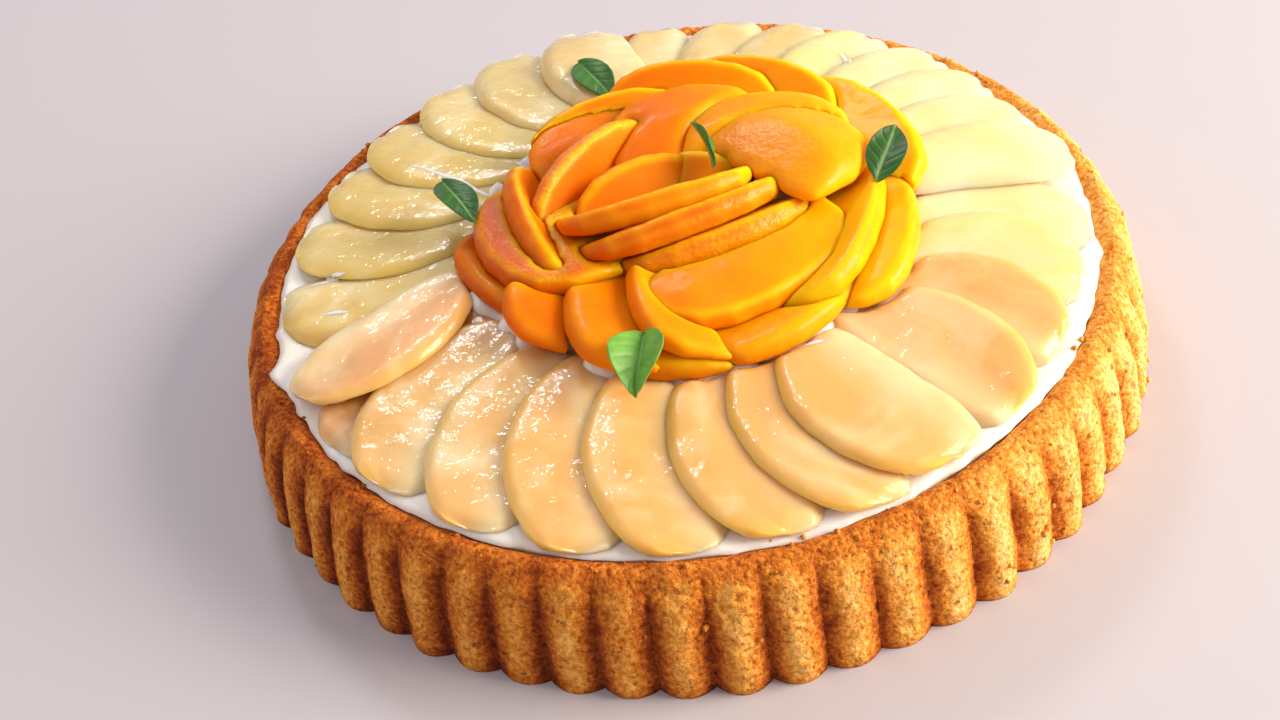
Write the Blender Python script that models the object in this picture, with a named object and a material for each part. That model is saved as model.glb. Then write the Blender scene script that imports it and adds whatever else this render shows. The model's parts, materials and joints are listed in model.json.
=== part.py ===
"""An upside-down fruit tart: a fluted sponge case turned out of its tin, a shallow well
of cream in it, a ring of poached pear slices laid like roof tiles, a rose of peach
slices in the middle and five small herb leaves.

Metres, +Z up, origin at the middle of the flat underside, -Y the front. The fruit is
laid piece by piece in the order a cook would lay it. A height map holds the top of
everything laid so far, so a soft pear slice drapes over what it lies on, and the rose is
pressed together: each peach slice gives way to those laid after it.
"""

import math

import bmesh
import bpy
import numpy as np

MM = 0.001

# The sponge case, as the tin shaped it
BASE_RADIUS = 140 * MM          # crest of the flutes at the table
FLUTES = 60
FLUTE_DEPTH = 3.2 * MM
GROOVE_ANGLE = 3.75             # degrees from +X to the first groove between two flutes
FLUTE_ROUNDNESS = 0.7           # under 1 for full ribs with sharp grooves
POINTS_PER_FLUTE = 6
WALL = (                        # radius and height up the wall, and the share of the flutes' depth
    (140.0, 0.0, 1.0),
    (138.9, 11.0, 1.0),
    (137.0, 21.0, 1.0),
    (134.6, 28.5, 0.8),
    (131.6, 33.6, 0.5),
    (127.8, 36.0, 0.12),
)
CROWN_INNER = (124.2, 34.9)     # radius and height in millimetres, as in WALL
WELL_LIP = (122.2, 31.5)
WELL_FLOOR = (119.6, 25.0)
FOOT_RADIUS = 100 * MM

# The cream that fills the well and is mounded a little under the fruit
FIT_GAP = 0.35 * MM
LIP_GAP = 0.5 * MM
CREAM_EDGE = (123.0, 34.5)
CREAM_RINGS = ((104.0, 35.6), (78.0, 37.2), (42.0, 38.6))
CREAM_MIDDLE = 39.0

# Pear slices: where the narrow inner end and the round outer end lie, in degrees and in
# shares of the base radius, the width in millimetres, and the side with the thick edge
LAY_GAP = 0.45 * MM
PEAR_THICKNESS = 4.4 * MM       # of a slice that lies flat on the cream
PEAR_COVER = 0.8 * MM           # the least thickness where it lies on another slice
PEAR_FALL = 0.12                # slope of its top across its width, down from its thick side
PEAR_BOW = 0.16                 # share of the width that its middle line bows by
PEAR_WIDEST = 0.6               # share of the length where it is widest
PEAR_INNER_ROUNDNESS = 0.44     # powers that make its two ends blunt
PEAR_OUTER_ROUNDNESS = 0.31
PEAR_LEAST_WIDTH = 3.0 * MM
PEAR_CREASE = 60                # degrees over which an edge is drawn sharp
PEAR_STATIONS = 7
PEAR_ENDS = (0.045, 0.965)      # shares of the length where the first and last stations lie
PEAR_UNDERSIDE = (-0.85, -0.3, 0.3, 0.85)   # shares of the half width where it bends to its support
PEAR_TOP = (0.8, -0.8)
PEAR_EDGE_HEIGHT = 0.45         # share of the thickness where the edges stand out furthest
PEAR_TAPERED = (0.12, 0.9)      # shares of the length past which the thickness tapers no more
PEAR_STIFFNESS = 0.9 * MM       # the most a slice sags between neighbouring stations
SAG_ROUNDS = 30
FEELERS_ACROSS = 41             # points where a slice feels for what lies under it
FEELERS_ALONG = 15
PEAR_SLICES = (
    (350, 0.46, 350, 0.870, 34, 1),
    (85, 0.44, 88, 0.905, 29, 1),
    (69, 0.44, 75, 0.910, 29, 1),
    (60, 0.45, 63, 0.900, 29, 1),
    (48, 0.46, 52, 0.890, 32, 1),
    (38, 0.46, 39, 0.880, 31, 1),
    (27, 0.46, 28, 0.865, 30, 1),
    (17, 0.46, 16, 0.850, 31, 1),
    (6, 0.45, 4, 0.875, 32, 1),
    (337, 0.45, 338, 0.850, 34, 1),
    (324, 0.45, 325, 0.855, 34, 1),
    (314, 0.42, 311.5, 0.870, 34, 1),
    (180, 0.43, 184, 0.870, 37, 1),
    (163, 0.42, 168, 0.872, 37, 1),
    (149, 0.42, 153, 0.878, 37, 1),
    (134, 0.43, 140, 0.895, 37, 1),
    (121, 0.43, 126, 0.910, 36, 1),
    (108, 0.44, 114, 0.930, 35, 1),
    (94, 0.44, 101, 0.930, 35, 1),
    (206, 0.44, 215, 0.868, 33, -1),
    (214, 0.43, 226, 0.872, 34, -1),
    (231, 0.42, 240, 0.876, 33, -1),
    (241, 0.42, 254, 0.880, 32, -1),
    (256, 0.43, 266.5, 0.884, 32, -1),
    (275, 0.42, 278, 0.880, 32, -1),
    (190, 0.46, 205, 0.870, 32, 1),
    (286, 0.42, 289.5, 0.886, 32, -1),
    (298, 0.44, 300, 0.880, 36, -1),
)

# Peach slices: the middle of each in millimetres, the way its skin faces in plan, how far
# the skin side is lifted, the pitch of its length, all in degrees, and its length, its
# depth and the rise of its broad upper face in millimetres. A slice with a rise is cut off
# the cheek, so it has no hollow. A later slice lies on the earlier ones, which give way to it.
PEACH_HOLLOW = 4 * MM           # how far the stone's hollow cuts in past the line of the tips
PEACH_SKIN_THICKNESS = 8.5 * MM
PEACH_INNER_THICKNESS = 2.6 * MM
PEACH_SPAN = 88                 # length and depth together of a slice that is as thick as that
PEACH_SKIN_BULGE = 1.6 * MM
PEACH_SKIN_ROUNDNESS = 0.5      # power that squares the crescent's ends
PEACH_LAST_TURN = 76            # degrees round the crescent from its middle to the last stations
PEACH_HOLLOW_TURN = 0.55        # cosine of the turn where the hollow starts
PEACH_TIP_SHARE = 0.45          # of the thickness that is left near the tips
PEACH_MIDDLE = 0.45             # share of the depth from the tips' line to the slice's middle
PEACH_STATIONS = 8
PEACH_CREASE = 35
PRESS_GAP = 0.45 * MM           # between a slice and the one that presses into it
FLAT_ANGLE = 3                  # degrees under which the faces of a cut slice are joined
MERGE_GAP = 0.04 * MM           # points of a cut slice nearer than this become one
PEACH_SLICES = (
    (60, 27, 47, 22, 16, 0, 68, 27, 1.5),
    (33, 53, 50, 56, 28, 0, 58, 24, 0),
    (11, 55, 51, 78, 34, 0, 58, 24, 0),
    (-17, 43, 50, 112, 28, 0, 58, 24, 0),
    (57, -21, 44, 345, 8, 0, 62, 24, 1.5),
    (-50, -16, 44, 212, 8, 0, 52, 22, 0),
    (-33, -23, 45, 155, 14, 5, 60, 26, 0),
    (-18, -34, 44, 172, 10, 5, 66, 28, 0),
    (8, -54, 43, 283, 4, 0, 56, 24, 0),
    (27, -47.5, 43.6, 308, 6, 0, 54, 24, 0),
    (-2, -37, 44.5, 180, 18, 5, 60, 26, 0),
    (46, -20, 47.5, 338, 18, 0, 68, 25, 0),
    (-37.5, -6.5, 50, 199, 0, 0, 58, 39, 3),
    (-23, 38, 50, 122, 14, 0, 46, 25, 1.5),
    (8, 34.5, 53.5, 98, 2, 0, 52, 34, 3),
    (33, 22, 54.5, 76, 0, 0, 52, 36, 4),
    (39.5, 10, 55.5, 39, -6, 0, 46, 36, 6),
    (-38, -1, 48.5, 192, 46, 0, 62, 24, 0),
    (-22, 16, 49.5, 140, 62, 0, 60, 24, 0),
    (8, 6, 51, 70, 40, 0, 40, 20, 0),
    (-9, 4, 51.5, 114, 52, 0, 44, 21, 0),
    (22, -33.8, 49, 301.4, -11, 0, 65, 27, 1.5),
    (12.4, -17, 49.4, 290, 26, 0, 63, 25, 0),
    (3.5, -13.8, 54.5, 290, 31, 0, 65, 24, 0),
    (-3.7, -9.1, 58.5, 284, 30, 0, 60, 24, 0),
)

# Leaves: middle, the way the tip points in plan, tilt of the tip, roll, length and width
LEAF_THICKNESS = 0.8 * MM
LEAF_STATIONS = 7
LEAF_COLUMNS = (-1.0, -0.5, 0.0, 0.5, 1.0)
LEAF_ENDS = (0.05, 0.95)        # shares of the length where the first and last stations lie
LEAF_LEAN_BACK = 0.8            # power that moves the widest place towards the stalk
LEAF_ROUNDNESS = 0.8
LEAF_FOLD = 0.22                # rise of the blade away from its midrib
LEAF_WAVE = 0.5 * MM
LEAF_WAVES = (9, 2.5)           # radians that the wave turns along and across the blade
LEAF_CREASE = 70
LEAF_ARCH = 3 * MM
LEAVES = (
    (-20, 82, 294, 0, 8, 28, 12),
    (-64, 12.5, 295, 4, -6, 29, 11.5),
    (65, 0, 64, 12, 10, 23, 11),
    (-14, -70, 259, -6, 4, 24, 14.5),
    (14, 9, 112, 45, 72, 15, 6),
)

# The height map
CELL = 0.5 * MM
MAP_HALF = 150 * MM
CELLS = int(2 * MAP_HALF / CELL)
NO_AREA = 1e-10                 # square metres under which a triangle is seen on edge
SAMPLE_PARTS = 5                # parts of a triangle's side between the points felt on it
EDGE_SHARE = 0.02               # how far past its edges a triangle still raises the map


def material(name, colour, roughness):
    made = bpy.data.materials.new(name)
    made.use_nodes = True
    shader = made.node_tree.nodes["Principled BSDF"]
    shader.inputs["Base Color"].default_value = (*colour, 1.0)
    shader.inputs["Roughness"].default_value = roughness
    shader.inputs["Metallic"].default_value = 0.0
    return made


def add_object(name, points, triangles, finish, crease=40):
    mesh = bpy.data.meshes.new(name)
    mesh.from_pydata([tuple(p) for p in points], [], [tuple(t) for t in triangles])
    mesh.validate()
    mesh.materials.append(finish)
    mesh.shade_smooth()
    mesh.set_sharp_from_angle(angle=math.radians(crease))
    made = bpy.data.objects.new(name, mesh)
    bpy.context.scene.collection.objects.link(made)
    return made


# Rings of points joined by triangles
def polar(radius, angle, height):
    """A point from millimetres and radians."""
    return (radius * MM * math.cos(angle), radius * MM * math.sin(angle), height * MM)


def join_rings(a, b, count_a, count_b):
    """Triangles from the ring that starts at index a to a coarser or equal one that starts at b."""
    share = count_a // count_b
    made = []
    for j in range(count_b):
        corner = b + j
        following = b + (j + 1) % count_b
        for i in range(j * share, (j + 1) * share):
            made.append((a + i, a + (i + 1) % count_a, corner))
        made.append((a + (j + 1) * share % count_a, following, corner))
    return made


def fan(first, count, middle):
    return [(first + i, first + (i + 1) % count, middle) for i in range(count)]


def flipped(triangles):
    return [(a, c, b) for a, b, c in triangles]


def flute_bulge(angle):
    """1 on the crest of a flute and 0 in the groove beside it."""
    turn = (math.degrees(angle) - GROOVE_ANGLE) * FLUTES / 360 % 1.0
    return math.sin(math.pi * turn) ** FLUTE_ROUNDNESS


def wall_ring(radius, height, share):
    count = FLUTES * POINTS_PER_FLUTE
    start = math.radians(GROOVE_ANGLE)
    points = []
    for i in range(count):
        angle = start + 2 * math.pi * i / count
        depth = FLUTE_DEPTH / MM * share * (1 - flute_bulge(angle))
        points.append(polar(radius - depth, angle, height))
    return points


def turned_ring(count, radius, height):
    start = math.radians(GROOVE_ANGLE)
    return [polar(radius, start + 2 * math.pi * i / count, height) for i in range(count)]


def sponge_case(finish):
    fine = FLUTES * POINTS_PER_FLUTE
    points = []
    triangles = []
    for radius, height, share in WALL:
        points += wall_ring(radius, height, share)
    for k in range(len(WALL) - 1):
        triangles += join_rings(k * fine, (k + 1) * fine, fine, fine)
    outer = (len(WALL) - 1) * fine
    first = len(points)
    for radius, height in (CROWN_INNER, WELL_LIP, WELL_FLOOR):
        points += turned_ring(FLUTES, radius, height)
    points.append((0.0, 0.0, WELL_FLOOR[1] * MM))
    triangles += join_rings(outer, first, fine, FLUTES)
    triangles += join_rings(first, first + FLUTES, FLUTES, FLUTES)
    triangles += join_rings(first + FLUTES, first + 2 * FLUTES, FLUTES, FLUTES)
    triangles += fan(first + 2 * FLUTES, FLUTES, len(points) - 1)
    foot = len(points)
    points += turned_ring(FLUTES, FOOT_RADIUS / MM, 0.0)
    points.append((0.0, 0.0, 0.0))
    triangles += flipped(join_rings(0, foot, fine, FLUTES))
    triangles += flipped(fan(foot, FLUTES, len(points) - 1))
    return add_object("sponge_case", points, triangles, finish)


def cream_filling(finish):
    gap = FIT_GAP / MM
    points = []
    floor = WELL_FLOOR[1] + gap
    points += turned_ring(FLUTES, WELL_FLOOR[0] - gap, floor)
    points += turned_ring(FLUTES, WELL_LIP[0] - LIP_GAP / MM, WELL_LIP[1])
    points += turned_ring(FLUTES, *CREAM_EDGE)
    for radius, height in CREAM_RINGS:
        points += turned_ring(FLUTES // 2, radius, height)
    points.append((0.0, 0.0, CREAM_MIDDLE * MM))
    points.append((0.0, 0.0, floor * MM))
    half = FLUTES // 2
    inner = 3 * FLUTES
    triangles = join_rings(0, FLUTES, FLUTES, FLUTES)
    triangles += join_rings(FLUTES, 2 * FLUTES, FLUTES, FLUTES)
    triangles += join_rings(2 * FLUTES, inner, FLUTES, half)
    triangles += join_rings(inner, inner + half, half, half)
    triangles += join_rings(inner + half, inner + 2 * half, half, half)
    triangles += fan(inner + 2 * half, half, len(points) - 2)
    triangles += flipped(fan(0, FLUTES, len(points) - 1))
    return add_object("cream_filling", points, triangles, finish)


# The height map of what has been laid
laid = np.zeros((CELLS, CELLS))


def cells_of(xy):
    found = np.floor((np.asarray(xy) + MAP_HALF) / CELL).astype(int)
    return np.clip(found, 1, CELLS - 2)


def top_at(xy):
    """The highest of the nine cells round each point."""
    column = cells_of(xy)
    best = laid[column[..., 0], column[..., 1]]
    for dx in (-1, 0, 1):
        for dy in (-1, 0, 1):
            best = np.maximum(best, laid[column[..., 0] + dx, column[..., 1] + dy])
    return best


def lay_down(points, triangles):
    """Raises the map to the top of a piece."""
    points = np.asarray(points)
    for corners in points[np.asarray(triangles)]:
        low = cells_of(corners[:, :2].min(0))
        high = cells_of(corners[:, :2].max(0))
        columns = np.arange(low[0], high[0] + 1)
        rows = np.arange(low[1], high[1] + 1)
        x = (columns[:, None] + 0.5) * CELL - MAP_HALF
        y = (rows[None, :] + 0.5) * CELL - MAP_HALF
        (x1, y1, z1), (x2, y2, z2), (x3, y3, z3) = corners
        area = (x2 - x1) * (y3 - y1) - (x3 - x1) * (y2 - y1)
        if abs(area) < NO_AREA:
            continue
        s = ((x - x1) * (y3 - y1) - (x3 - x1) * (y - y1)) / area
        t = ((x2 - x1) * (y - y1) - (x - x1) * (y2 - y1)) / area
        inside = (s >= -EDGE_SHARE) & (t >= -EDGE_SHARE) & (s + t <= 1 + EDGE_SHARE)
        z = z1 + s * (z2 - z1) + t * (z3 - z1)
        part = laid[low[0]:high[0] + 1, low[1]:high[1] + 1]
        np.maximum(part, np.where(inside, z, 0.0), out=part)


def lay_object(made):
    mesh = made.data
    mesh.calc_loop_triangles()
    lay_down([v.co[:] for v in mesh.vertices], [t.vertices[:] for t in mesh.loop_triangles])


def tube_triangles(stations, around, first_pole, last_pole):
    """Rings of points along a piece, closed by one point at each end."""
    made = []
    for k in range(stations - 1):
        made += join_rings((k + 1) * around, k * around, around, around)
    made += flipped(fan((stations - 1) * around, around, last_pole))
    made += fan(0, around, first_pole)
    return flipped(made)


# Pear slices
def pear_outline(s):
    """Half width of a slice at share s of its length, widest nearer the outer end."""
    if s < PEAR_WIDEST:
        return (1 - (1 - s / PEAR_WIDEST) ** 2) ** PEAR_INNER_ROUNDNESS
    return (1 - ((s - PEAR_WIDEST) / (1 - PEAR_WIDEST)) ** 2) ** PEAR_OUTER_ROUNDNESS


def pear_line(row):
    """The middle line as a function of the share along it, the way across it and the half width."""
    inner_angle, inner_radius, outer_angle, outer_radius, width, side = row
    start = BASE_RADIUS * inner_radius * np.array(
        [math.cos(math.radians(inner_angle)), math.sin(math.radians(inner_angle))])
    end = BASE_RADIUS * outer_radius * np.array(
        [math.cos(math.radians(outer_angle)), math.sin(math.radians(outer_angle))])
    along = (end - start) / np.linalg.norm(end - start)
    across = np.array([-along[1], along[0]])
    bow = PEAR_BOW * width * MM * side

    def at(s):
        return start + (end - start) * s + across * bow * math.sin(math.pi * s)

    return at, across, width * MM / 2


def underside(fractions, support):
    """Heights at the bends of the underside, whose straight stretches all clear the support."""
    bends = (-1.0, *PEAR_UNDERSIDE, 1.0)
    heights = []
    for before, after in zip(bends[:-2], bends[2:]):
        reached = (fractions >= before - 1e-6) & (fractions <= after + 1e-6)
        heights.append(support[reached].max() + LAY_GAP)
    return np.array(heights)


def pear_slice(name, row, finish, cream_top):
    at, across, half = pear_line(row)
    shares = np.linspace(*PEAR_ENDS, PEAR_STATIONS)
    step = shares[1] - shares[0]
    fractions = np.linspace(-1, 1, FEELERS_ACROSS)
    bends = np.array(PEAR_UNDERSIDE)
    widths = np.array([max(half * pear_outline(s), PEAR_LEAST_WIDTH / 2) for s in shares])
    undersides = []
    for s in shares:
        support = np.zeros(len(fractions))
        for t in np.linspace(max(0.0, s - step), min(1.0, s + step), FEELERS_ALONG):
            reach = half * pear_outline(min(max(t, 1 - PEAR_ENDS[1]), PEAR_ENDS[1]))
            xy = at(t) + across * (fractions * reach)[:, None]
            support = np.maximum(support, top_at(xy))
        undersides.append(underside(fractions, support))
    undersides = np.array(undersides)
    tapers = np.array([math.sqrt(pear_outline(s)) for s in np.clip(shares, *PEAR_TAPERED)])
    slope = PEAR_FALL * row[5]
    covered = (undersides + PEAR_COVER - slope * bends * widths[:, None]).max(1)
    column = cells_of([at(s) for s in shares])
    tops = np.maximum(covered, cream_top[column[:, 0], column[:, 1]] + PEAR_THICKNESS * tapers)
    for _ in range(SAG_ROUNDS):
        held = 0.5 * (tops[:-2] + tops[2:]) - PEAR_STIFFNESS
        tops[1:-1] = np.maximum(tops[1:-1], held)
    points = []
    for s, width, bottom, top in zip(shares, widths, undersides, tops):
        section = [(u, height) for u, height in zip(bends, bottom)]
        upper = [(u, top + slope * u * width) for u in PEAR_TOP]
        edges = [
            (math.copysign(1.0, u), low + PEAR_EDGE_HEIGHT * (high - low))
            for (u, high), low in zip(upper, (bottom[-1], bottom[0]))
        ]
        section += [edges[0], upper[0], upper[1], edges[1]]
        for u, height in section:
            x, y = at(s) + across * u * width
            points.append((x, y, height))
    around = len(section)
    for s, k in ((0.0, 0), (1.0, PEAR_STATIONS - 1)):
        x, y = at(s)
        middle = np.mean([p[2] for p in points[k * around:(k + 1) * around]])
        points.append((x, y, middle))
    count = len(points)
    triangles = tube_triangles(PEAR_STATIONS, around, count - 2, count - 1)
    lay_down(points, triangles)
    return add_object(name, points, triangles, finish, PEAR_CREASE)


# Peach slices
def peach_shape(length, depth, rise):
    """A crescent lying flat: x along the tips, y out to the skin, z through its thickness."""
    half = length * MM / 2
    size = (length + depth) / PEACH_SPAN
    points = []
    for turn in np.radians(np.linspace(-PEACH_LAST_TURN, PEACH_LAST_TURN, PEACH_STATIONS)):
        fullness = math.cos(turn)
        x = half * math.sin(turn)
        skin = depth * MM * fullness ** PEACH_SKIN_ROUNDNESS
        hollow = PEACH_HOLLOW * size * (fullness - PEACH_HOLLOW_TURN) / (1 - PEACH_HOLLOW_TURN)
        if rise > 0:
            hollow = -PEACH_HOLLOW * size * fullness
        thick = PEACH_SKIN_THICKNESS / 2 * size * (PEACH_TIP_SHARE + (1 - PEACH_TIP_SHARE) * fullness)
        thin = PEACH_INNER_THICKNESS / 2 * (PEACH_TIP_SHARE + (1 - PEACH_TIP_SHARE) * fullness)
        points += [
            (x, hollow, -thin),
            (x, skin - PEACH_SKIN_BULGE, -thick),
            (x, skin, 0.0),
            (x, skin - PEACH_SKIN_BULGE, thick),
        ]
        if rise > 0:
            points.append((x, (skin + hollow) / 2, (thick + thin) / 2 + rise * MM * fullness))
        points.append((x, hollow, thin))
    around = len(points) // PEACH_STATIONS
    tip = (1 if rise > 0 else -1) * PEACH_HOLLOW * size / 2
    points += [(-half, tip, 0.0), (half, tip, 0.0)]
    count = len(points)
    points = np.array(points)
    points[:, 1] -= depth * MM * PEACH_MIDDLE
    return points, tube_triangles(PEACH_STATIONS, around, count - 2, count - 1)


def turned(points, lean, pitch, heading):
    """Leans a piece about its length, pitches it and turns its skin side to the heading."""
    a, b, c = (math.radians(v) for v in (lean, pitch, heading - 90))
    about_x = np.array([[1, 0, 0], [0, math.cos(a), -math.sin(a)], [0, math.sin(a), math.cos(a)]])
    about_y = np.array([[math.cos(b), 0, math.sin(b)], [0, 1, 0], [-math.sin(b), 0, math.cos(b)]])
    about_z = np.array([[math.cos(c), -math.sin(c), 0], [math.sin(c), math.cos(c), 0], [0, 0, 1]])
    return points @ (about_z @ about_y @ about_x).T


def spread_over(points, triangles, parts=SAMPLE_PARTS):
    """Points all over a piece's faces."""
    shares = [(i / parts, j / parts) for i in range(parts + 1) for j in range(parts + 1 - i)]
    corners = points[np.asarray(triangles)]
    return np.concatenate([
        corners[:, 0] * (1 - s - t) + corners[:, 1] * s + corners[:, 2] * t for s, t in shares
    ])


def rest_height(samples, x, y):
    """How high a piece has to be for its faces to clear all that is laid."""
    xy = samples[:, :2] + np.array([x, y])
    return (top_at(xy) + LAY_GAP - samples[:, 2]).max()


def peach_slice(name, row, finish, cream_top):
    x, y, z, heading, lean, pitch, length, depth, rise = row
    points, triangles = peach_shape(length, depth, rise)
    points = turned(points, lean, pitch, heading)
    samples = spread_over(points, triangles)
    column = cells_of(samples[:, :2] + np.array([x, y]) * MM)
    clear = (cream_top[column[:, 0], column[:, 1]] + LAY_GAP - samples[:, 2]).max()
    points = points + np.array([x * MM, y * MM, max(z * MM, clear)])
    lay_down(points, triangles)
    return add_object(name, points, triangles, finish, PEACH_CREASE)


def swollen(made, gap):
    """A copy of a piece, grown by the gap, to cut its neighbours with."""
    mesh = made.data.copy()
    grown = [v.co + v.normal * gap for v in made.data.vertices]
    for vertex, place in zip(mesh.vertices, grown):
        vertex.co = place
    copy = bpy.data.objects.new(made.name + "_cutter", mesh)
    copy.hide_render = True
    copy.display_type = "WIRE"
    bpy.context.scene.collection.objects.link(copy)
    return copy


def extent(made):
    points = np.array([v.co[:] for v in made.data.vertices])
    return points.min(0), points.max(0)


def body_volume(shape, body):
    total = 0.0
    for face in shape.faces:
        if face.verts[0] in body:
            corners = [vertex.co for vertex in face.verts]
            for b, c in zip(corners[1:-1], corners[2:]):
                total += corners[0].dot(b.cross(c)) / 6
    return total


def keep_largest(shape):
    """Leaves the biggest of the loose bodies."""
    left = set(shape.verts)
    bodies = []
    while left:
        body = {left.pop()}
        edge = list(body)
        while edge:
            for link in edge.pop().link_edges:
                for vertex in link.verts:
                    if vertex not in body:
                        body.add(vertex)
                        edge.append(vertex)
        left -= body
        bodies.append(body)
    bodies.sort(key=lambda body: body_volume(shape, body))
    scraps = [vertex for body in bodies[:-1] for vertex in body]
    bmesh.ops.delete(shape, geom=scraps, context="VERTS")


def closed(shape):
    return all(edge.is_manifold for edge in shape.edges)


def tidy_cut(mesh):
    """One body in few triangles, joining nearly flat faces where the body stays closed."""
    for flat_angle in (FLAT_ANGLE, FLAT_ANGLE / 4, 0.0):
        shape = bmesh.new()
        shape.from_mesh(mesh)
        keep_largest(shape)
        if flat_angle > 0:
            bmesh.ops.remove_doubles(shape, verts=shape.verts, dist=MERGE_GAP)
            bmesh.ops.dissolve_limit(
                shape, angle_limit=math.radians(flat_angle), verts=shape.verts, edges=shape.edges
            )
        bmesh.ops.triangulate(shape, faces=shape.faces)
        if closed(shape):
            break
        shape.free()
    shape.to_mesh(mesh)
    shape.free()


def press_together(pieces):
    """Cuts each piece back where the later ones lie in it."""
    boxes = [extent(piece) for piece in pieces]
    cutters = {}
    for i, piece in enumerate(pieces):
        for j in range(i + 1, len(pieces)):
            apart = (boxes[i][0] > boxes[j][1]).any() or (boxes[j][0] > boxes[i][1]).any()
            if apart or piece.name[:4] == pieces[j].name[:4] == "pear":
                continue
            if j not in cutters:
                cutters[j] = swollen(pieces[j], PRESS_GAP)
            cut = piece.modifiers.new("Pressed by " + pieces[j].name, "BOOLEAN")
            cut.operation = "DIFFERENCE"
            cut.solver = "EXACT"
            cut.object = cutters[j]
    bpy.context.view_layer.update()
    graph = bpy.context.evaluated_depsgraph_get()
    for piece in pieces:
        if piece.modifiers:
            mesh = bpy.data.meshes.new_from_object(piece.evaluated_get(graph))
            piece.modifiers.clear()
            piece.data = mesh
            tidy_cut(mesh)
    for cutter in cutters.values():
        bpy.data.objects.remove(cutter, do_unlink=True)


# Leaves
def leaf_shape(length, width):
    """A wavy blade along x, both faces split alike."""
    top = []
    for s in np.linspace(*LEAF_ENDS, LEAF_STATIONS):
        half = width * MM / 2 * math.sin(math.pi * s ** LEAF_LEAN_BACK) ** LEAF_ROUNDNESS
        for u in LEAF_COLUMNS:
            x = length * MM * (s - 0.5)
            fold = LEAF_FOLD * abs(u) * half
            wave = LEAF_WAVE * math.sin(LEAF_WAVES[0] * s + LEAF_WAVES[1] * u)
            arch = LEAF_ARCH * (s - 0.5) ** 2
            top.append((x, u * half, fold + wave * abs(u) - arch))
    count = len(top)
    points = np.array(top + [(x, y, z - LEAF_THICKNESS) for x, y, z in top])
    triangles = []
    wide = len(LEAF_COLUMNS)
    for k in range(LEAF_STATIONS - 1):
        for i in range(wide - 1):
            a = k * wide + i
            b, c, d = a + 1, a + wide, a + wide + 1
            triangles += [(a, c, b), (b, c, d)]
            triangles += [(count + a, count + b, count + c), (count + b, count + d, count + c)]
    last = (LEAF_STATIONS - 1) * wide
    rim = list(range(wide))
    rim += [k * wide + wide - 1 for k in range(1, LEAF_STATIONS)]
    rim += [last + i for i in range(wide - 2, -1, -1)]
    rim += [k * wide for k in range(LEAF_STATIONS - 2, 0, -1)]
    for i, a in enumerate(rim):
        b = rim[(i + 1) % len(rim)]
        triangles += [(a, b, count + b), (a, count + b, count + a)]
    return points, triangles


def herb_leaf(name, row, finish):
    x, y, heading, tilt, roll, length, width = row
    points, triangles = leaf_shape(length, width)
    points = turned(points, roll, -tilt, heading + 90)
    height = rest_height(spread_over(points, triangles), x * MM, y * MM)
    points = points + np.array([x * MM, y * MM, height])
    lay_down(points, triangles)
    return add_object(name, points, triangles, finish, LEAF_CREASE)


def main():
    for old in list(bpy.data.objects):
        bpy.data.objects.remove(old, do_unlink=True)
    crust = material("Baked sponge", (0.62, 0.30, 0.09), 0.75)
    white = material("Whipped cream", (0.92, 0.88, 0.80), 0.45)
    pear = material("Poached pear", (0.90, 0.72, 0.38), 0.3)
    peach = material("Poached peach", (0.95, 0.42, 0.04), 0.28)
    green = material("Herb leaf", (0.10, 0.28, 0.04), 0.45)
    lay_object(sponge_case(crust))
    lay_object(cream_filling(white))
    cream_top = laid.copy()
    fruit = []
    for number, row in enumerate(PEAR_SLICES, 1):
        fruit.append(pear_slice(f"pear_slice_{number:02d}", row, pear, cream_top))
    for number, row in enumerate(PEACH_SLICES, 1):
        fruit.append(peach_slice(f"peach_slice_{number:02d}", row, peach, cream_top))
    press_together(fruit)
    for number, row in enumerate(LEAVES, 1):
        herb_leaf(f"leaf_{number}", row, green)


main()
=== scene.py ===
import json
import math

import bmesh
import bpy
import numpy as np
from mathutils import Matrix
from mathutils.bvhtree import BVHTree

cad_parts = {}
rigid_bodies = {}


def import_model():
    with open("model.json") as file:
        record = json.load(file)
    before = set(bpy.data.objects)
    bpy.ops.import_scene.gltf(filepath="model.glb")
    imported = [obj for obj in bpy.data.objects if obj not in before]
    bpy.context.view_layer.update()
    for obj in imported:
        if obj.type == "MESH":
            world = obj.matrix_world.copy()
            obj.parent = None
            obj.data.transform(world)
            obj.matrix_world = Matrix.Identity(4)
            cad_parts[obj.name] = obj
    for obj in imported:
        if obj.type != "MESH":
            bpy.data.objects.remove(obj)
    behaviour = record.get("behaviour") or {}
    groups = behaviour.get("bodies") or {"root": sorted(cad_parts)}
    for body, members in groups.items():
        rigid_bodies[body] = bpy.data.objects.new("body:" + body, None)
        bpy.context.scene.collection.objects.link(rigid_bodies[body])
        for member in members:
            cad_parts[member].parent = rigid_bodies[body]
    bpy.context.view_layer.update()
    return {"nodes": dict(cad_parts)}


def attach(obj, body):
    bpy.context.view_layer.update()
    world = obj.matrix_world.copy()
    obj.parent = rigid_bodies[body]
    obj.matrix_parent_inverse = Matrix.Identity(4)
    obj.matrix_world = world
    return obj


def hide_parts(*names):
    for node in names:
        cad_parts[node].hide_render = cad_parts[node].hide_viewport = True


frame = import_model()
scene = bpy.context.scene
mm = 0.001


# Small helpers
def linear(hexCode):
    # sRGB hex to the linear colour that shaders take
    shares = [int(hexCode[i:i + 2], 16) / 255 for i in (0, 2, 4)]
    return [c / 12.92 if c <= 0.04045 else ((c + 0.055) / 1.055) ** 2.4 for c in shares] + [1.0]


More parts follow.
